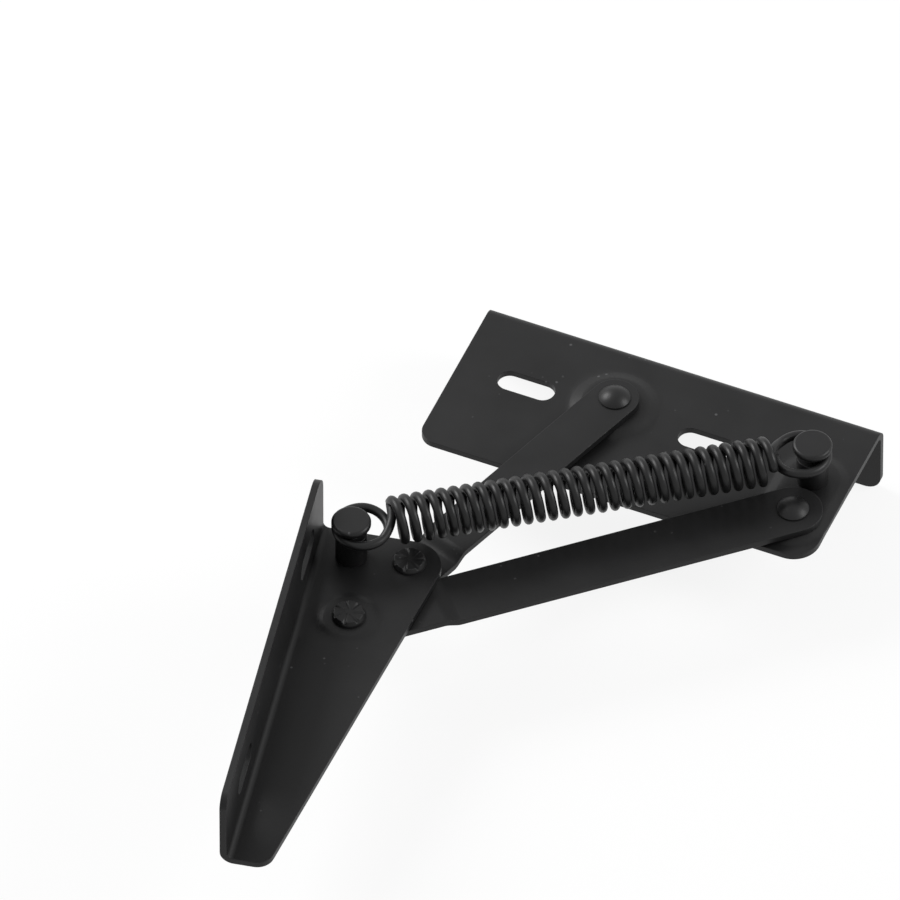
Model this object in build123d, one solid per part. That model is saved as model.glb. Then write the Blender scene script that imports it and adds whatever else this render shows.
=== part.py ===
"""Folding bed hinge: a frame bracket, a bed plate, two joggled links and a tension spring, open against its stop."""

import os
from math import atan2, cos, degrees, hypot, sin

from build123d import *

# Pivot and post layout at rest, in mm from the centre of the bracket's flange slots
UPPER_FRAME = (28.8, 54.2)
LOWER_FRAME = (16.4, 30.1)
UPPER_BED = (72.2, 131.3)
LOWER_BED = (130.8, 100.4)
FRAME_POST = (12.1, 53.4)
BED_POST = (133.4, 114.7)

# Sheet and levels
SHEET = 2.0
BEND_INNER = 2.0
RUN_GAP = 0.1
PIN_GAP = 0.05
SEAT_GAP = 0.3
TAIL_SINK = 0.1
THROUGH = 10.0
BRACKET_TOP = -11.0
UPPER_SEAT_RISE = 1.6
SEAT_SLOPE = 62
UPPER_SEAT_R = 12.8
LOWER_SEAT_R = 10.8
FRAME_SEAT_R = 9.0
FRAME_SEAT_RISE = 0.8
SEAT_INSET = 0.6
LINK_CLEAR = 1.4
UPPER_JOGGLE = 2.4
LOWER_JOGGLE = 1.2
BRACKET_BOTTOM = BRACKET_TOP - SHEET
LOWER_LINK_FRAME_Z = BRACKET_BOTTOM - SEAT_GAP - SHEET
UPPER_LINK_FRAME_Z = LOWER_LINK_FRAME_Z - LINK_CLEAR - SHEET
LOWER_LINK_BED_Z = LOWER_LINK_FRAME_Z - LOWER_JOGGLE
UPPER_LINK_BED_Z = UPPER_LINK_FRAME_Z + UPPER_JOGGLE
PLATE_TOP = UPPER_LINK_BED_Z - RUN_GAP - UPPER_SEAT_RISE
LOWER_SEAT_RISE = LOWER_LINK_BED_Z - RUN_GAP - PLATE_TOP

# Bed plate
PLATE_CORNER = (29.7, 162.3)
PLATE_ANGLE = -10.8
PLATE_LENGTH = 121.5
PLATE_WIDTH = 55.6
PLATE_FLANGE = 25.0
PLATE_LEFT_RADIUS = 5.0
PLATE_RIGHT_RADIUS = 8.0
PLATE_SLOTS = ((21.2, -25.1), (77.2, -25.1))
SLOT_LENGTH = 17.4
SLOT_WIDTH = 7.2

# Frame bracket
BRACKET_HEAD_Y = 62.5
BRACKET_FOOT_Y = -66.0
BRACKET_HEAD_X = 40.3
BRACKET_FOOT_X = 13.9
BRACKET_FLANGE = 24.0
BRACKET_HEAD_RADIUS = 9.3
BRACKET_FOOT_RADIUS = 5.0
FLANGE_HEAD_RADIUS = 6.7
FLANGE_FOOT_RADIUS = 4.0
BRACKET_SLOT_SPACING = 83.0

# Links
UPPER_LINK_WIDTH = 14.0
LOWER_LINK_WIDTH = 17.1
UPPER_JOGGLE_AT = 13.0
LOWER_JOGGLE_AT = 27.5
JOGGLE_RUN = 2.2

# Rivets, posts and spacers
SHANK_R = 3.0
DOME_R = 4.6
DOME_H = 2.4
TAIL_R = 4.4
PEEN_R = 4.9
PEEN_H = 1.9
PEEN_RIM_H = 0.5
PEEN_TAPER = 0.7
PEEN_GROOVES = 7
GROOVE_LENGTH = 5.0
GROOVE_WIDTH = 0.9
GROOVE_AT = 3.4
GROOVE_LIFT = 0.1
GROOVE_TILT = 9
GROOVE_TURN = 8
STOP_BUSH_R = 4.15
SEAT_WASHER_R = 6.0
POST_BODY_R = 4.55
POST_NECK_R = 2.6
POST_HEAD_R = 5.7
POST_NECK_Z = 9.8
POST_HEAD_Z = 13.1
POST_TOP_Z = 15.3
FRAME_POST_TAIL = 1.2

# Tension spring
WIRE_R = 1.35
COIL_R = 5.9
COIL_TURNS = 31
LOOP_R = 7.45
LOOP_Z = 11.4
LOOP_TO_COIL = 10.2
LOOP_GAP = 0.3
LEAD_OVERLAP = 1.0
SLEEVE_SIDES = 20


def disc(point, radius, low, high):
    """An upright cylinder between two levels."""
    return Location((*point, low)) * Cylinder(
        radius, high - low, align=(Align.CENTER, Align.CENTER, Align.MIN)
    )


def turned(point, z, profile):
    """A solid turned about an upright axis from (radius, height) points."""
    face = make_face(Polyline(*[(r, 0, h) for r, h in profile], close=True))
    return Location((*point, z)) * revolve(face, Axis.Z)


def dome(point, z, up):
    """A domed rivet head with a low straight rim, standing up or hanging down from a level."""
    rim = 0.35
    arc_r = (DOME_R**2 + (DOME_H - rim) ** 2) / (2 * (DOME_H - rim))
    middle = (arc_r * sin(0.5 * atan2(DOME_R, arc_r - DOME_H + rim)), 0)
    middle = (middle[0], 0, DOME_H - arc_r + (arc_r**2 - middle[0] ** 2) ** 0.5)
    edge = Polyline((0, 0, DOME_H), (0, 0, 0), (DOME_R, 0, 0), (DOME_R, 0, rim))
    face = make_face(edge + ThreePointArc((DOME_R, 0, rim), middle, (0, 0, DOME_H)))
    head = revolve(face, Axis.Z)
    return Location((*point, z), (0 if up else 180, 0, 0)) * head


def raised_seat(sketch, top, rise):
    """The solid added above a sheet and the hollow cut below it for a pressed seat."""
    added = Location((0, 0, top)) * extrude(sketch, rise, taper=SEAT_SLOPE)
    hollow = Location((0, 0, top - SHEET)) * extrude(
        offset(sketch, -SEAT_INSET), rise, taper=SEAT_SLOPE
    )
    return added, hollow


def make_bed_plate():
    plate = Pos(PLATE_LENGTH / 2, -PLATE_WIDTH / 2, PLATE_TOP - SHEET / 2) * Box(
        PLATE_LENGTH, PLATE_WIDTH, SHEET
    )
    flange = Pos(PLATE_LENGTH / 2, -SHEET / 2, PLATE_TOP - PLATE_FLANGE / 2) * Box(
        PLATE_LENGTH, SHEET, PLATE_FLANGE
    )
    part = plate + flange
    along = part.edges().filter_by(Axis.X)
    outer = along.sort_by_distance((PLATE_LENGTH / 2, 0, PLATE_TOP))[0]
    part = fillet(outer, BEND_INNER + SHEET)
    along = part.edges().filter_by(Axis.X)
    inner = along.sort_by_distance((PLATE_LENGTH / 2, -SHEET, PLATE_TOP - SHEET))[0]
    part = fillet(inner, BEND_INNER)
    for x, radius in ((0, PLATE_LEFT_RADIUS), (PLATE_LENGTH, PLATE_RIGHT_RADIUS)):
        upright = part.edges().filter_by(Axis.Z)
        part = fillet(upright.sort_by_distance((x, -PLATE_WIDTH, PLATE_TOP))[0], radius)
        across = part.edges().filter_by(Axis.Y)
        low = (x, -SHEET / 2, PLATE_TOP - PLATE_FLANGE)
        part = fillet(across.sort_by_distance(low)[0], PLATE_LEFT_RADIUS)
    for spot in PLATE_SLOTS:
        part -= Pos(*spot, PLATE_TOP - SHEET) * extrude(
            SlotOverall(SLOT_LENGTH, SLOT_WIDTH), SHEET
        )
    part = Location((*PLATE_CORNER, 0), (0, 0, PLATE_ANGLE)) * part
    # Raised seats that let the rivet tails lie flush with the back
    upper = Pos(*UPPER_BED) * Circle(UPPER_SEAT_R)
    middle = ((LOWER_BED[0] + BED_POST[0]) / 2, (LOWER_BED[1] + BED_POST[1]) / 2)
    span = (BED_POST[0] - LOWER_BED[0], BED_POST[1] - LOWER_BED[1])
    lower = Location((*middle, 0), (0, 0, degrees(atan2(span[1], span[0])))) * (
        SlotCenterToCenter(hypot(*span), 2 * LOWER_SEAT_R)
    )
    for sketch, rise in ((upper, UPPER_SEAT_RISE), (lower, LOWER_SEAT_RISE)):
        added, hollow = raised_seat(sketch, PLATE_TOP, rise)
        part = part + added - hollow
    for point in (UPPER_BED, LOWER_BED, BED_POST):
        part -= disc(point, SHANK_R, PLATE_TOP - THROUGH, PLATE_TOP + THROUGH)
    return part


def make_frame_bracket():
    length = BRACKET_HEAD_Y - BRACKET_FOOT_Y
    middle = (BRACKET_HEAD_Y + BRACKET_FOOT_Y) / 2
    reach = max(BRACKET_HEAD_X, BRACKET_FOOT_X) + THROUGH
    face = Pos(reach / 2, middle, BRACKET_TOP - SHEET / 2) * Box(reach, length, SHEET)
    wall = Pos(SHEET / 2, middle, BRACKET_BOTTOM + (SHEET + BRACKET_FLANGE) / 2) * Box(
        SHEET, length, SHEET + BRACKET_FLANGE
    )
    part = face + wall
    along = part.edges().filter_by(Axis.Y)
    part = fillet(along.sort_by_distance((0, middle, BRACKET_BOTTOM))[0], BEND_INNER + SHEET)
    along = part.edges().filter_by(Axis.Y)
    part = fillet(along.sort_by_distance((SHEET, middle, BRACKET_TOP))[0], BEND_INNER)
    outline = make_face(
        Polyline(
            (0, BRACKET_HEAD_Y),
            (BRACKET_HEAD_X, BRACKET_HEAD_Y),
            (BRACKET_FOOT_X, BRACKET_FOOT_Y),
            (0, BRACKET_FOOT_Y),
            close=True,
        )
    )
    corners = outline.vertices()
    head = corners.sort_by_distance((BRACKET_HEAD_X, BRACKET_HEAD_Y))[0]
    outline = fillet(head, BRACKET_HEAD_RADIUS)
    corners = outline.vertices()
    foot = corners.sort_by_distance((BRACKET_FOOT_X, BRACKET_FOOT_Y))[0]
    outline = fillet(foot, BRACKET_FOOT_RADIUS)
    part &= Pos(0, 0, BRACKET_BOTTOM - THROUGH) * extrude(outline, BRACKET_FLANGE + 2 * THROUGH)
    for y, radius in ((BRACKET_HEAD_Y, FLANGE_HEAD_RADIUS), (BRACKET_FOOT_Y, FLANGE_FOOT_RADIUS)):
        across = part.edges().filter_by(Axis.X)
        high = (SHEET / 2, y, BRACKET_TOP + BRACKET_FLANGE)
        part = fillet(across.sort_by_distance(high)[0], radius)
    for y in (BRACKET_SLOT_SPACING / 2, -BRACKET_SLOT_SPACING / 2):
        slot = extrude(SlotOverall(SLOT_LENGTH, SLOT_WIDTH), THROUGH, both=True)
        part -= Location((0, y, 0), (0, 90, 0)) * (Rot(0, 0, 90) * slot)
    added, hollow = raised_seat(Pos(*LOWER_FRAME) * Circle(FRAME_SEAT_R), BRACKET_TOP, FRAME_SEAT_RISE)
    part = part + added - hollow
    for point, radius in (
        (UPPER_FRAME, SHANK_R),
        (LOWER_FRAME, SHANK_R),
        (FRAME_POST, SHANK_R + PIN_GAP),
    ):
        part -= disc(point, radius, BRACKET_BOTTOM - THROUGH, BRACKET_TOP + THROUGH)
    return part


def make_link(frame_end, bed_end, width, frame_z, bed_z, joggle_at):
    """A flat bar with a two-bend step near its frame end, and a hole at each end."""
    run = (bed_end[0] - frame_end[0], bed_end[1] - frame_end[1])
    length = hypot(*run)
    reach = length + width
    step = joggle_at + JOGGLE_RUN
    low = [(-width, frame_z), (joggle_at, frame_z), (step, bed_z), (reach, bed_z)]
    high = [(x, z + SHEET) for x, z in reversed(low)]
    side = make_face(Polyline(*[(x, 0, z) for x, z in low + high], close=True))
    bar = extrude(side, width, both=True, dir=(0, 1, 0))
    plan = Pos(length / 2, 0) * SlotCenterToCenter(length, width)
    bar &= Pos(0, 0, PLATE_TOP - THROUGH) * extrude(plan, BRACKET_TOP - PLATE_TOP + 2 * THROUGH)
    return Location((*frame_end, 0), (0, 0, degrees(atan2(run[1], run[0])))) * bar


def make_peen(point, z):
    """A star-peened rivet end: a low tapered disc with radial grooves."""
    end = turned(
        point,
        z,
        [(0, 0), (PEEN_R, 0), (PEEN_R, PEEN_RIM_H), (PEEN_R - PEEN_TAPER, PEEN_H), (0, PEEN_H)],
    )
    for k in range(PEEN_GROOVES):
        turn = 360 * k / PEEN_GROOVES + GROOVE_TURN
        groove = Location((GROOVE_AT, 0, 0), (45, GROOVE_TILT, 0)) * (
            Box(GROOVE_LENGTH, GROOVE_WIDTH, GROOVE_WIDTH)
        )
        end -= Location((*point, z + PEEN_H + GROOVE_LIFT), (0, 0, turn)) * groove
    return end


def make_post(point, sheet_top, tail, play):
    """A headed spring post with a grooved neck, its tail peened under the sheet."""
    profile = [
        (0, -SHEET - tail),
        (TAIL_R, -SHEET - tail),
        (TAIL_R, -SHEET - play),
        (SHANK_R, -SHEET - play),
        (SHANK_R, play),
        (POST_BODY_R, play),
        (POST_BODY_R, POST_NECK_Z),
        (POST_NECK_R, POST_NECK_Z),
        (POST_NECK_R, POST_HEAD_Z),
        (POST_HEAD_R - 0.4, POST_HEAD_Z),
        (POST_HEAD_R, POST_HEAD_Z + 0.5),
        (POST_HEAD_R, POST_TOP_Z - 0.8),
        (POST_HEAD_R - 0.3, POST_TOP_Z - 0.3),
        (POST_HEAD_R - 0.9, POST_TOP_Z),
        (0, POST_TOP_Z),
    ]
    return turned(point, sheet_top, profile)


def make_spring():
    """The spring with its coil as a ringed sleeve, and a flat loop round each post."""
    run = (BED_POST[0] - FRAME_POST[0], BED_POST[1] - FRAME_POST[1])
    between = hypot(*run)
    turn = atan2(run[1], run[0])
    away = LOOP_R - WIRE_R - POST_NECK_R - LOOP_GAP
    ends = []
    for along, base in ((away, BRACKET_TOP), (between - away, PLATE_TOP + LOWER_SEAT_RISE)):
        x = FRAME_POST[0] + along * cos(turn)
        y = FRAME_POST[1] + along * sin(turn)
        ends.append(Vector(x, y, base + LOOP_Z))
    axis = ends[1] - ends[0]
    start, coil = LOOP_TO_COIL, axis.length - 2 * LOOP_TO_COIL
    pitch = coil / COIL_TURNS
    rings = [COIL_R if k % 2 == 0 else COIL_R + WIRE_R for k in range(2 * COIL_TURNS + 1)]
    sections = [
        Pos(start + pitch * k / 2, 0, 0) * (Rot(0, 90, 0) * RegularPolygon(radius, SLEEVE_SIDES))
        for k, radius in enumerate(rings)
    ]
    bore = Pos(axis.length / 2, 0, 0) * (
        Rot(0, 90, 0) * Cylinder(COIL_R - WIRE_R, coil - 2 * WIRE_R)
    )
    sleeve = loft(sections, ruled=True) - bore
    into = start + LEAD_OVERLAP
    for near, far in ((LOOP_R, into), (axis.length - into, axis.length - LOOP_R)):
        lead = Rot(0, 90, 0) * Cylinder(WIRE_R, far - near)
        sleeve += Pos((near + far) / 2, 0, 0) * lead
    pitch_down = degrees(atan2(-axis.Z, hypot(axis.X, axis.Y)))
    placed = Location(ends[0]) * (Rot(0, 0, degrees(turn)) * (Rot(0, pitch_down, 0) * sleeve))
    for end in ends:
        placed += Location(end) * Torus(LOOP_R, WIRE_R)
    return placed


parts = {}
parts["bed_plate"] = make_bed_plate()
parts["frame_bracket"] = make_frame_bracket()

# Links, with running holes where a rivet of another body passes
upper = make_link(
    UPPER_FRAME, UPPER_BED, UPPER_LINK_WIDTH, UPPER_LINK_FRAME_Z, UPPER_LINK_BED_Z, UPPER_JOGGLE_AT
)
upper -= disc(UPPER_FRAME, SHANK_R + PIN_GAP, PLATE_TOP - THROUGH, PLATE_TOP + THROUGH)
upper -= disc(UPPER_BED, SHANK_R, PLATE_TOP - THROUGH, PLATE_TOP + THROUGH)
parts["upper_link"] = upper
lower = make_link(
    LOWER_FRAME, LOWER_BED, LOWER_LINK_WIDTH, LOWER_LINK_FRAME_Z, LOWER_LINK_BED_Z, LOWER_JOGGLE_AT
)
for point in (LOWER_FRAME, LOWER_BED):
    lower -= disc(point, SHANK_R + PIN_GAP, PLATE_TOP - THROUGH, PLATE_TOP + THROUGH)
parts["lower_link"] = lower

# Bed rivets: the upper one is split between the link and the plate, as its pivot is the opened one
upper_top = UPPER_LINK_BED_Z + SHEET
parts["upper_bed_rivet_head"] = dome(UPPER_BED, upper_top, True) + disc(
    UPPER_BED, SHANK_R, UPPER_LINK_BED_Z, upper_top
)
seat_low = PLATE_TOP + UPPER_SEAT_RISE - SHEET
parts["upper_bed_rivet_tail"] = disc(UPPER_BED, SHANK_R, seat_low, seat_low + SHEET) + disc(
    UPPER_BED, TAIL_R, seat_low - UPPER_SEAT_RISE + TAIL_SINK, seat_low
)
lower_top = LOWER_LINK_BED_Z + SHEET + RUN_GAP
seat_low = PLATE_TOP + LOWER_SEAT_RISE - SHEET
parts["lower_bed_rivet"] = (
    dome(LOWER_BED, lower_top, True)
    + disc(LOWER_BED, SHANK_R, seat_low, lower_top)
    + disc(LOWER_BED, TAIL_R, seat_low - LOWER_SEAT_RISE + TAIL_SINK, seat_low)
)

# Frame rivets, peened on the bracket, with domed heads under the links
for name, point, link_z, top in (
    ("upper_frame_rivet", UPPER_FRAME, UPPER_LINK_FRAME_Z, BRACKET_TOP),
    ("lower_frame_rivet", LOWER_FRAME, LOWER_LINK_FRAME_Z, BRACKET_TOP + FRAME_SEAT_RISE),
):
    parts[name] = (
        make_peen(point, top)
        + disc(point, SHANK_R, link_z - RUN_GAP, top)
        + dome(point, link_z - RUN_GAP, False)
    )

# Spacers between the bracket and the links
parts["stop_bush"] = disc(
    UPPER_FRAME, STOP_BUSH_R, UPPER_LINK_FRAME_Z + SHEET + RUN_GAP, BRACKET_BOTTOM
) - disc(UPPER_FRAME, SHANK_R, PLATE_TOP - THROUGH, BRACKET_TOP)
parts["seat_washer"] = disc(
    LOWER_FRAME,
    SEAT_WASHER_R,
    LOWER_LINK_FRAME_Z + SHEET + RUN_GAP,
    BRACKET_BOTTOM + FRAME_SEAT_RISE,
) - disc(LOWER_FRAME, SHANK_R, PLATE_TOP - THROUGH, BRACKET_TOP)

# Spring posts and spring
parts["frame_spring_post"] = make_post(FRAME_POST, BRACKET_TOP, FRAME_POST_TAIL, RUN_GAP)
parts["bed_spring_post"] = make_post(
    BED_POST, PLATE_TOP + LOWER_SEAT_RISE, LOWER_SEAT_RISE - TAIL_SINK, 0
)
parts["tension_spring"] = make_spring()

os.makedirs("parts", exist_ok=True)
for name, shape in parts.items():
    export_step(shape, f"parts/{name}.step")
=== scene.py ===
"""The look of the folding bed hinge: coated steel pieces with soft edges, and one wound spring."""

from math import atan2, cos, hypot, pi, radians, sin, tan

import bmesh
import bpy
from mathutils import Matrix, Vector


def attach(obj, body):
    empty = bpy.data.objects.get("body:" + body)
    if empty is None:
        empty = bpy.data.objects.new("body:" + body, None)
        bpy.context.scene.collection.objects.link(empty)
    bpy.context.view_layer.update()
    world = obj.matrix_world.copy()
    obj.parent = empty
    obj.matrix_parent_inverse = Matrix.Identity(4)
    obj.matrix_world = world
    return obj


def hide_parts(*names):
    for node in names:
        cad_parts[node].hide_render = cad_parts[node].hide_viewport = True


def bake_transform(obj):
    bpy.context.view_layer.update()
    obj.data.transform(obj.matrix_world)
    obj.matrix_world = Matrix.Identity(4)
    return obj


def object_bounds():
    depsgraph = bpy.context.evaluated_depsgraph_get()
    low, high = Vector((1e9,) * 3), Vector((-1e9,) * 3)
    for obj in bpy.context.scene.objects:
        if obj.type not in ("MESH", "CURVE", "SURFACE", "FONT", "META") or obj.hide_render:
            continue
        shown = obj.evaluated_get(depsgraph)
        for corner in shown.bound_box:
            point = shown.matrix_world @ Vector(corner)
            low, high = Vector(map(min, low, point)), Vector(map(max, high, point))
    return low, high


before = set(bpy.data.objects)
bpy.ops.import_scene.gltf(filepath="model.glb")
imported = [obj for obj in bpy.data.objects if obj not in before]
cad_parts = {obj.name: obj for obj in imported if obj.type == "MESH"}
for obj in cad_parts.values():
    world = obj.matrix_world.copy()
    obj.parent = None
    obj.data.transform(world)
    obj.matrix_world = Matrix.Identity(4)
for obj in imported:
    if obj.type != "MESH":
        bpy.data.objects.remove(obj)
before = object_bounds()
scene = bpy.context.scene
scene.view_settings.view_transform = "Standard"
MM = 0.001

# Pivots and posts in mm, as in the part's source
FRAME_POST = (12.1, 53.4)
BED_POST = (133.4, 114.7)
UPPER_FRAME = (28.8, 54.2)
LOWER_FRAME = (16.4, 30.1)
UPPER_BED = (72.2, 131.3)
LOWER_BED = (130.8, 100.4)

# Sheet, pressed seats and joggles in mm and degrees, as in the part's source
SHEET = 2.0
BRACKET_TOP = -11.0
PLATE_TOP = -18.0
SEAT_SLOPE = 62
SEAT_INSET = 0.6
UPPER_SEAT_R, UPPER_SEAT_RISE = 12.8, 1.6
LOWER_SEAT_R, LOWER_SEAT_RISE = 10.8, 1.4
FRAME_SEAT_R, FRAME_SEAT_RISE = 9.0, 0.8
UPPER_JOGGLE_AT, UPPER_JOGGLE = 13.0, 2.4
LOWER_JOGGLE_AT, LOWER_JOGGLE = 27.5, 1.2
JOGGLE_RUN = 2.2

# How far a press rounds past each bend in mm, and how finely that is cut
SEAT_SPREAD = 1.2
SEAT_MARGIN = 0.4
SEAT_STRIP = 1.2
JOGGLE_SPREAD = 1.5
JOGGLE_CUTS = 20

# Cleaning of the meshes, in metres and degrees
CUT_TOLERANCE = 1e-6
WELD = 2e-6
FLAT_ANGLE = 0.3
SHARP_ANGLE = 35
NORMAL_WEIGHT = 100

# Spring wire and coil in mm, with the coil running a few points past its ends
WIRE_R = 1.35
WIRE_SIDES = 14
COIL_R = 5.9
COIL_TURNS = 30
POINTS_PER_TURN = 30
COIL_OVERRUN = 4

# Spring loops: their places in mm, then the wire's way round in degrees from its free end
LOOP_R = 7.45
LOOP_TO_COIL = 10.2
LOOP_OFFSET = 3.2
FRAME_LOOP_Z = 0.4
BED_LOOP_Z = -5.2
LOOP_STEP = 6
LOOP_START = -14
LOOP_CLIMB = 94
LOOP_LEAVES = 300
LOOP_EXIT = 54
LOOP_DROP = 1.0
LOOP_LIFT = 1.8
LOOP_FLARE = 1.0
LEAD_POINTS = ((9.00, 1.0, 1.72), (9.32, 2.9, 1.50), (9.52, 4.5, 1.55), (9.62, 5.45, 2.25))

# Coating: edges and grain in mm, texture scales per metre, and the stops of each ramp
EDGE_ROUND = 0.35
EDGE_SAMPLES = 6
GRAIN_DEPTH = 0.2
CLOUD_NOISE = {"Scale": 55.0, "Detail": 5.0}
GRAIN_NOISE = {"Scale": 1500.0, "Detail": 3.0}
DUST_NOISE = {"Scale": 140.0, "Detail": 2.0}
SPECK_CELLS = {"Scale": 330.0}
CLOUD_STOPS = (0.35, 0.7)
# The edge stops set where the coat is painted lighter, partly as wear and partly as a highlight
EDGE_WEAR_AND_HIGHLIGHT_STOPS = (0.70, 0.97)
SPECK_STOPS = (0.10, 0.16)
DUST_STOPS = (0.60, 0.66)
CLOUD_LIFT = 1.5
DUST_GREY = 0.32
SMOOTHER, ROUGHER = 0.07, 0.10
BLUE_TINT = 1.03

# Sockets of a colour Mix node
MIX_SHARE, MIX_FIRST, MIX_LAST, MIX_RESULT = 0, 6, 7, 2

# Floor in metres, with its gap below the object in mm, and the world's light
FLOOR_REACH = 3.0
FLOOR_GAP = 0.1
FLOOR_GREY = 0.86
FLOOR_ROUGH = 0.9
FLOOR_GLOW = 0.88
WORLD_LIGHT = 0.35

# Long-lens camera at the photo's angle and scale
TARGET = Vector((29.84, 104.4, -17.4)) * MM
ELEVATION = 48.16
AZIMUTH = 12.2
LENS = 1600
SENSOR = 36
IMAGE_WIDTH = 900
PIXELS_PER_MM = 3.5
CLIP_END = 100


def node(tree, kind, **values):
    """A new node with some of its inputs or settings filled in."""
    made = tree.nodes.new(kind)
    for key, value in values.items():
        if key in made.inputs:
            made.inputs[key].default_value = value
        else:
            setattr(made, key, value)
    return made


def ramp(tree, source, stops, first, last):
    """A two-stop colour ramp on a value."""
    made = tree.nodes.new("ShaderNodeValToRGB")
    for element, place, colour in zip(made.color_ramp.elements, stops, (first, last)):
        element.position = place
        element.color = colour
    tree.links.new(source, made.inputs["Fac"])
    return made.outputs["Color"]


def mix(tree, share, first, last):
    """Two colours mixed by a share, where each is a socket or a fixed colour."""
    made = node(tree, "ShaderNodeMix", data_type="RGBA")
    for value, place in ((share, MIX_SHARE), (first, MIX_FIRST), (last, MIX_LAST)):
        if hasattr(value, "is_linked"):
            tree.links.new(value, made.inputs[place])
        else:
            made.inputs[place].default_value = value
    return made.outputs[MIX_RESULT]


def grey(value):
    """A grey with a trace of blue."""
    return (value, value, value * BLUE_TINT, 1)


def coated(name, base, rough, grain, dust, edge_wear_and_highlight, shine):
    """Black coated steel: fine grain, uneven sheen, edges lighter partly from wear and partly as a painted
    highlight, and pale dust specks.
    """
    material = bpy.data.materials.new(name)
    material.use_nodes = True
    tree = material.node_tree
    shader = tree.nodes["Principled BSDF"]
    where = tree.nodes.new("ShaderNodeTexCoord").outputs["Object"]
    cloud = node(tree, "ShaderNodeTexNoise", **CLOUD_NOISE)
    fine = node(tree, "ShaderNodeTexNoise", **GRAIN_NOISE)
    speck = node(tree, "ShaderNodeTexVoronoi", **SPECK_CELLS)
    sparse = node(tree, "ShaderNodeTexNoise", **DUST_NOISE)
    for texture in (cloud, fine, speck, sparse):
        tree.links.new(where, texture.inputs["Vector"])
    # Cloudy coat, lighter on the edges where the rounded normal leaves the flat one: partly wear, partly a
    # painted highlight
    rim = node(tree, "ShaderNodeBevel", Radius=EDGE_ROUND * MM, samples=EDGE_SAMPLES)
    turned = node(tree, "ShaderNodeVectorMath", operation="DOT_PRODUCT")
    tree.links.new(rim.outputs["Normal"], turned.inputs[0])
    tree.links.new(tree.nodes.new("ShaderNodeNewGeometry").outputs["Normal"], turned.inputs[1])
    worn_and_highlit_edge = ramp(tree, turned.outputs["Value"], EDGE_WEAR_AND_HIGHLIGHT_STOPS, grey(1), grey(0))
    cloudy = ramp(tree, cloud.outputs["Fac"], CLOUD_STOPS, grey(0), grey(1))
    coat = mix(tree, cloudy, grey(base), grey(base * CLOUD_LIFT))
    # Painted highlight and wear: the coat is lighter on the edges
    coat = mix(tree, worn_and_highlit_edge, coat, grey(base * edge_wear_and_highlight))
    # Dust specks only where the sparse noise allows them
    dot = ramp(tree, speck.outputs["Distance"], SPECK_STOPS, grey(1), grey(0))
    gate = ramp(tree, sparse.outputs["Fac"], DUST_STOPS, grey(0), grey(dust))
    dusty = node(tree, "ShaderNodeMath", operation="MULTIPLY")
    tree.links.new(dot, dusty.inputs[0])
    tree.links.new(gate, dusty.inputs[1])
    coat = mix(tree, dusty.outputs[0], coat, grey(DUST_GREY))
    tree.links.new(coat, shader.inputs["Base Color"])
    sheen = node(tree, "ShaderNodeMapRange")
    sheen.inputs["To Min"].default_value = rough - SMOOTHER
    sheen.inputs["To Max"].default_value = rough + ROUGHER
    tree.links.new(cloud.outputs["Fac"], sheen.inputs["Value"])
    tree.links.new(sheen.outputs["Result"], shader.inputs["Roughness"])
    bump = node(tree, "ShaderNodeBump", Strength=grain, Distance=GRAIN_DEPTH * MM)
    tree.links.new(fine.outputs["Fac"], bump.inputs["Height"])
    tree.links.new(rim.outputs["Normal"], bump.inputs["Normal"])
    tree.links.new(bump.outputs["Normal"], shader.inputs["Normal"])
    shader.inputs["Specular IOR Level"].default_value = shine
    return material


# The edge factor paints the coat lighter on edges, partly as wear and partly as a highlight
SHEET_STEEL = coated("coated_sheet", base=0.0065, rough=0.42, grain=0.10, dust=0.18, edge_wear_and_highlight=4, shine=0.22)
RIVET = coated("coated_rivet", base=0.0065, rough=0.38, grain=0.08, dust=0.18, edge_wear_and_highlight=8, shine=0.24)
WIRE = coated("coated_wire", base=0.0065, rough=0.38, grain=0.05, dust=0.15, edge_wear_and_highlight=3, shine=0.25)


def held(share):
    """A share kept between nothing and the whole."""
    return min(max(share, 0), 1)


def eased(share):
    """A share that starts and ends gently."""
    share = held(share)
    return share * share * (3 - 2 * share)


def cut_strips(work, low, high, axis, step):
    """Cuts the faces near a box into strips across one direction, so that they can be bent."""
    place = low.dot(axis)
    while place <= high.dot(axis):
        near = [
            face for face in work.faces
            if all(
                min(v.co[k] for v in face.verts) < high[k] + step
                and max(v.co[k] for v in face.verts) > low[k] - step
                for k in (0, 1)
            )
        ]
        parts = set(near)
        for face in near:
            parts.update(face.edges)
            parts.update(face.verts)
        bmesh.ops.bisect_plane(
            work, geom=list(parts), plane_co=axis * place, plane_no=axis, dist=CUT_TOLERANCE
        )
        place += step


def round_seat(work, start, end, radius, rise, top):
    """Turns the conical rim of a seat that runs from start to end into the soft swell that a press leaves."""
    start, end = Vector(start) * MM, Vector(end) * MM
    margin = radius + SEAT_SPREAD + SEAT_MARGIN
    around = Vector((1, 1, 0)) * margin * MM
    low = Vector((min(start.x, end.x), min(start.y, end.y), 0)) - around
    high = Vector((max(start.x, end.x), max(start.y, end.y), 0)) + around
    for axis in (Vector((1, 0, 0)), Vector((0, 1, 0))):
        cut_strips(work, low, high, axis, SEAT_STRIP * MM)
    run = end - start
    inner = radius - rise * tan(radians(SEAT_SLOPE))
    for vert in work.verts:
        spot = vert.co.xy
        along = held((spot - start).dot(run) / run.length_squared) if run.length else 0
        gap = (spot - start - run * along).length / MM
        if gap > margin:
            continue
        coned = held((radius - gap) / (radius - inner))
        # The hollow under the seat is a smaller cone
        if vert.co.z / MM < top - SHEET / 2 + rise * coned:
            coned = held((radius - SEAT_INSET - gap) / (radius - inner))
        swell = eased((radius + SEAT_SPREAD - gap) / (radius - inner + 2 * SEAT_SPREAD))
        vert.co.z += rise * (swell - coned) * MM


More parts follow.
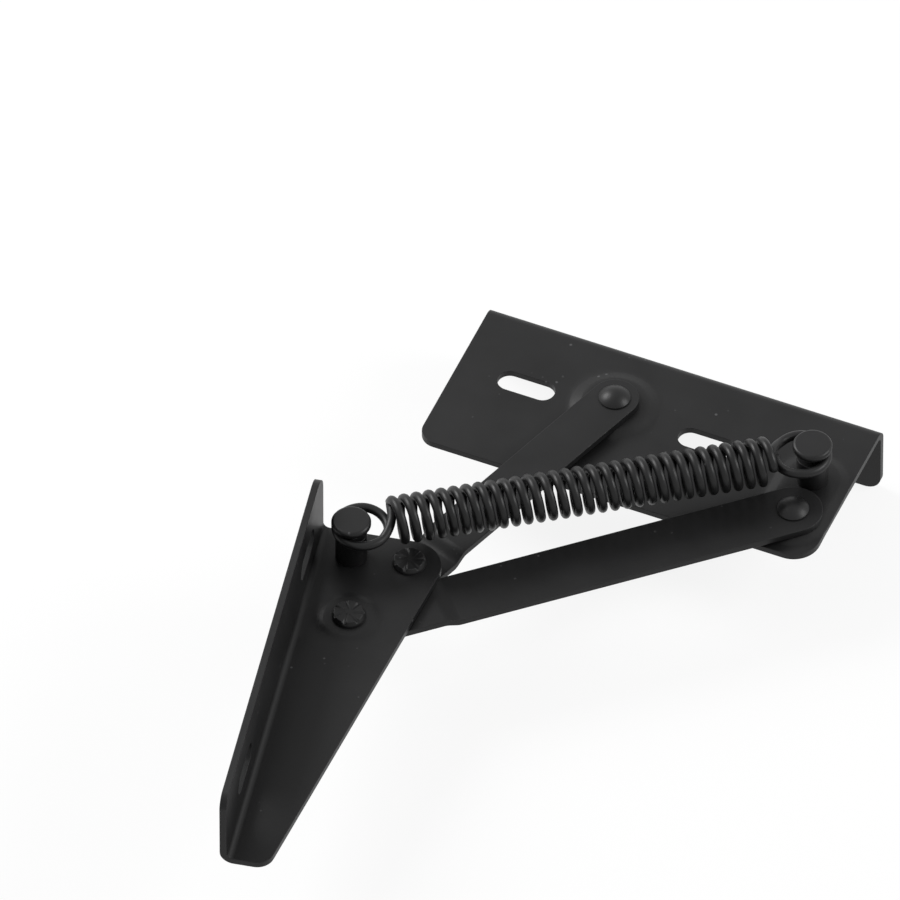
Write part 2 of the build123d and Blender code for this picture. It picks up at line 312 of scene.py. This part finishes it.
def round_joggle(work, frame_end, bed_end, joggle_at, rise):
    """Turns a link's sharp two-bend step into a smooth one."""
    start = Vector(frame_end)
    run = (Vector(bed_end) - start).normalized()
    first, last = joggle_at - JOGGLE_SPREAD, joggle_at + JOGGLE_RUN + JOGGLE_SPREAD
    for k in range(JOGGLE_CUTS + 1):
        place = first + (last - first) * k / JOGGLE_CUTS
        bmesh.ops.bisect_plane(
            work,
            geom=work.verts[:] + work.edges[:] + work.faces[:],
            plane_co=Vector((*(start + run * place), 0)) * MM,
            plane_no=Vector((*run, 0)),
            dist=CUT_TOLERANCE,
        )
    for vert in work.verts:
        along = (vert.co.xy / MM - start).dot(run)
        sharp = held((along - joggle_at) / JOGGLE_RUN)
        smooth = eased((along - first) / (last - first))
        vert.co.z += rise * (smooth - sharp) * MM


def dressed(name, body, material, seats=(), top=0, joggle=None):
    """A copy of a CAD node with its pressed forms rounded, standing for that node."""
    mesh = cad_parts[name].data.copy()
    work = bmesh.new()
    work.from_mesh(mesh)
    bmesh.ops.remove_doubles(work, verts=work.verts, dist=WELD)
    bmesh.ops.dissolve_degenerate(work, edges=work.edges, dist=WELD)
    bmesh.ops.dissolve_limit(work, angle_limit=radians(FLAT_ANGLE), verts=work.verts, edges=work.edges)
    for seat in seats:
        round_seat(work, *seat, top)
    if joggle:
        round_joggle(work, *joggle)
    bmesh.ops.recalc_face_normals(work, faces=work.faces)
    work.to_mesh(mesh)
    work.free()
    mesh.materials.clear()
    mesh.materials.append(material)
    for face in mesh.polygons:
        face.use_smooth = True
    mesh.set_sharp_from_angle(angle=radians(SHARP_ANGLE))
    piece = bpy.data.objects.new(f"look_{name}", mesh)
    scene.collection.objects.link(piece)
    normals = piece.modifiers.new("normals", "WEIGHTED_NORMAL")
    normals.mode = "FACE_AREA"
    normals.weight = NORMAL_WEIGHT
    normals.keep_sharp = True
    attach(piece, body)
    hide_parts(name)


# Pressed sheet
dressed(
    "frame_bracket", "frame_bracket", SHEET_STEEL,
    seats=[(LOWER_FRAME, LOWER_FRAME, FRAME_SEAT_R, FRAME_SEAT_RISE)],
    top=BRACKET_TOP,
)
dressed(
    "bed_plate", "bed_plate", SHEET_STEEL,
    seats=[
        (UPPER_BED, UPPER_BED, UPPER_SEAT_R, UPPER_SEAT_RISE),
        (LOWER_BED, BED_POST, LOWER_SEAT_R, LOWER_SEAT_RISE),
    ],
    top=PLATE_TOP,
)
dressed(
    "lower_link", "lower_link", SHEET_STEEL,
    joggle=(LOWER_FRAME, LOWER_BED, LOWER_JOGGLE_AT, -LOWER_JOGGLE),
)
dressed(
    "upper_link", "upper_link", SHEET_STEEL,
    joggle=(UPPER_FRAME, UPPER_BED, UPPER_JOGGLE_AT, UPPER_JOGGLE),
)

# Rivets, spacers and posts
for name, body in (
    ("upper_frame_rivet", "frame_bracket"),
    ("lower_frame_rivet", "frame_bracket"),
    ("stop_bush", "frame_bracket"),
    ("seat_washer", "frame_bracket"),
    ("lower_bed_rivet", "bed_plate"),
    ("upper_bed_rivet_tail", "bed_plate"),
    ("bed_spring_post", "bed_plate"),
    ("upper_bed_rivet_head", "upper_link"),
    ("frame_spring_post", "frame_post"),
):
    dressed(name, body, RIVET)


def loop_points():
    """One end of the wire from its free end: a full loop, then the lead to the coil."""
    points = []
    for degrees in range(LOOP_START, LOOP_LEAVES + 1, LOOP_STEP):
        angle = radians(degrees)
        drop = LOOP_DROP * (1 - eased((degrees - LOOP_START) / LOOP_CLIMB))
        points.append((LOOP_R * cos(angle), LOOP_R * sin(angle), -drop))
    # The wire passes over its own free end and leaves the loop
    for degrees in range(LOOP_LEAVES + LOOP_STEP, LOOP_LEAVES + LOOP_EXIT + 1, LOOP_STEP):
        angle = radians(degrees)
        share = (degrees - LOOP_LEAVES) / LOOP_EXIT
        reach = LOOP_R + LOOP_FLARE * share**2
        points.append((reach * cos(angle), reach * sin(angle), LOOP_LIFT * eased(share)))
    return points + list(LEAD_POINTS)


def wire_points():
    """The spring's wire: a loop round the frame post, an open coil, and a loop round the bed post."""
    run = (BED_POST[0] - FRAME_POST[0], BED_POST[1] - FRAME_POST[1])
    between, turn = hypot(*run), atan2(run[1], run[0])
    first, last = LOOP_OFFSET + LOOP_TO_COIL, between - LOOP_OFFSET - LOOP_TO_COIL
    pitch = (last - first) / COIL_TURNS
    end = [(LOOP_OFFSET + x, y, z) for x, y, z in loop_points()]
    # The coil starts and ends at its top and winds over the front
    coil = []
    for step in range(-COIL_OVERRUN, COIL_TURNS * POINTS_PER_TURN + COIL_OVERRUN + 1):
        angle = 2 * pi * step / POINTS_PER_TURN
        reach = first + pitch * step / POINTS_PER_TURN
        coil.append((reach, -COIL_R * sin(angle), COIL_R * cos(angle)))
    # The other end is the same one turned half round
    other_end = [(between - x, -y, z) for x, y, z in reversed(end)]
    placed = []
    for x, y, z in end + coil + other_end:
        share = held((x - first) / (last - first))
        placed.append(Vector((
            FRAME_POST[0] + x * cos(turn) - y * sin(turn),
            FRAME_POST[1] + x * sin(turn) + y * cos(turn),
            FRAME_LOOP_Z + (BED_LOOP_Z - FRAME_LOOP_Z) * share + z,
        )) * MM)
    return placed


def wind_spring():
    """One swept wire with closed ends, in place of the spring's CAD node."""
    line = wire_points()
    mesh = bpy.data.meshes.new("look_tension_spring")
    work = bmesh.new()
    side, rings = None, []
    for k, point in enumerate(line):
        along = (line[min(k + 1, len(line) - 1)] - line[max(k - 1, 0)]).normalized()
        if side is None:
            side = along.orthogonal()
        side = (side - along * side.dot(along)).normalized()
        across = along.cross(side)
        rings.append([
            work.verts.new(point + (side * cos(t) + across * sin(t)) * (WIRE_R * MM))
            for t in (2 * pi * j / WIRE_SIDES for j in range(WIRE_SIDES))
        ])
    for near, far in zip(rings, rings[1:]):
        for j in range(WIRE_SIDES):
            following = (j + 1) % WIRE_SIDES
            work.faces.new((near[j], near[following], far[following], far[j]))
    work.faces.new(list(reversed(rings[0])))
    work.faces.new(rings[-1])
    bmesh.ops.recalc_face_normals(work, faces=work.faces)
    work.to_mesh(mesh)
    work.free()
    for face in mesh.polygons:
        face.use_smooth = True
    mesh.materials.append(WIRE)
    piece = bpy.data.objects.new("look_tension_spring", mesh)
    scene.collection.objects.link(piece)
    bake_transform(piece)
    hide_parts("tension_spring")


wind_spring()


def seen_directly(tree):
    """One for rays from the camera, a reflection or a clear piece, and zero for light itself."""
    path = tree.nodes.new("ShaderNodeLightPath")
    total = path.outputs["Is Camera Ray"]
    for kind in ("Is Glossy Ray", "Is Transmission Ray"):
        either = node(tree, "ShaderNodeMath", operation="MAXIMUM")
        tree.links.new(total, either.inputs[0])
        tree.links.new(path.outputs[kind], either.inputs[1])
        total = either.outputs[0]
    return total


def lay_floor():
    """A plain pale floor that is nearly white to the camera and keeps a faint shadow."""
    low = before[0][2] - FLOOR_GAP * MM
    corners = ((-1, -1), (1, -1), (1, 1), (-1, 1))
    mesh = bpy.data.meshes.new("floor")
    mesh.from_pydata([(x * FLOOR_REACH, y * FLOOR_REACH, low) for x, y in corners], [], [(0, 1, 2, 3)])
    floor = bpy.data.objects.new("floor", mesh)
    scene.collection.objects.link(floor)
    material = bpy.data.materials.new("pale_floor")
    material.use_nodes = True
    tree = material.node_tree
    shader = tree.nodes["Principled BSDF"]
    shader.inputs["Base Color"].default_value = (FLOOR_GREY, FLOOR_GREY, FLOOR_GREY, 1)
    shader.inputs["Roughness"].default_value = FLOOR_ROUGH
    glow = node(tree, "ShaderNodeEmission", Strength=1.0)
    part_lit = node(tree, "ShaderNodeMath", operation="MULTIPLY")
    part_lit.inputs[1].default_value = FLOOR_GLOW
    both = tree.nodes.new("ShaderNodeMixShader")
    tree.links.new(seen_directly(tree), part_lit.inputs[0])
    tree.links.new(part_lit.outputs[0], both.inputs[0])
    tree.links.new(shader.outputs[0], both.inputs[1])
    tree.links.new(glow.outputs[0], both.inputs[2])
    tree.links.new(both.outputs[0], tree.nodes["Material Output"].inputs["Surface"])
    mesh.materials.append(material)


def light_world():
    """A white surround that gives the object only part of its light."""
    world = bpy.data.worlds.new("studio")
    scene.world = world
    world.use_nodes = True
    tree = world.node_tree
    backdrop = tree.nodes["Background"]
    backdrop.inputs["Color"].default_value = (1, 1, 1, 1)
    level = node(tree, "ShaderNodeMapRange")
    level.inputs["To Min"].default_value = WORLD_LIGHT
    level.inputs["To Max"].default_value = 1.0
    tree.links.new(seen_directly(tree), level.inputs["Value"])
    tree.links.new(level.outputs["Result"], backdrop.inputs["Strength"])


def hang_lamp(name, place, size, power):
    """A round soft lamp that points at the object from a place in metres."""
    data = bpy.data.lights.new(name, "AREA")
    data.shape = "DISK"
    data.size = size
    data.energy = power
    lamp = bpy.data.objects.new(name, data)
    scene.collection.objects.link(lamp)
    lamp.location = TARGET + Vector(place)
    lamp.rotation_euler = (-Vector(place)).to_track_quat("-Z", "Y").to_euler()


def set_camera():
    """The camera, so far off that a pixel has the photo's scale at the target."""
    data = bpy.data.cameras.new("camera")
    data.sensor_width = SENSOR
    data.lens = LENS
    data.clip_end = CLIP_END
    camera = bpy.data.objects.new("camera", data)
    scene.collection.objects.link(camera)
    scene.camera = camera
    up, round_by = radians(ELEVATION), radians(AZIMUTH)
    toward = Vector((sin(round_by) * cos(up), -cos(round_by) * cos(up), sin(up)))
    distance = LENS / SENSOR * IMAGE_WIDTH / PIXELS_PER_MM * MM
    camera.location = TARGET + toward * distance
    camera.rotation_euler = (-toward).to_track_quat("-Z", "Y").to_euler()


lay_floor()
light_world()
hang_lamp("key", place=(-0.75, 0.35, 0.75), size=0.6, power=12)
hang_lamp("fill", place=(0.9, 0.1, 0.6), size=0.5, power=6)
set_camera()
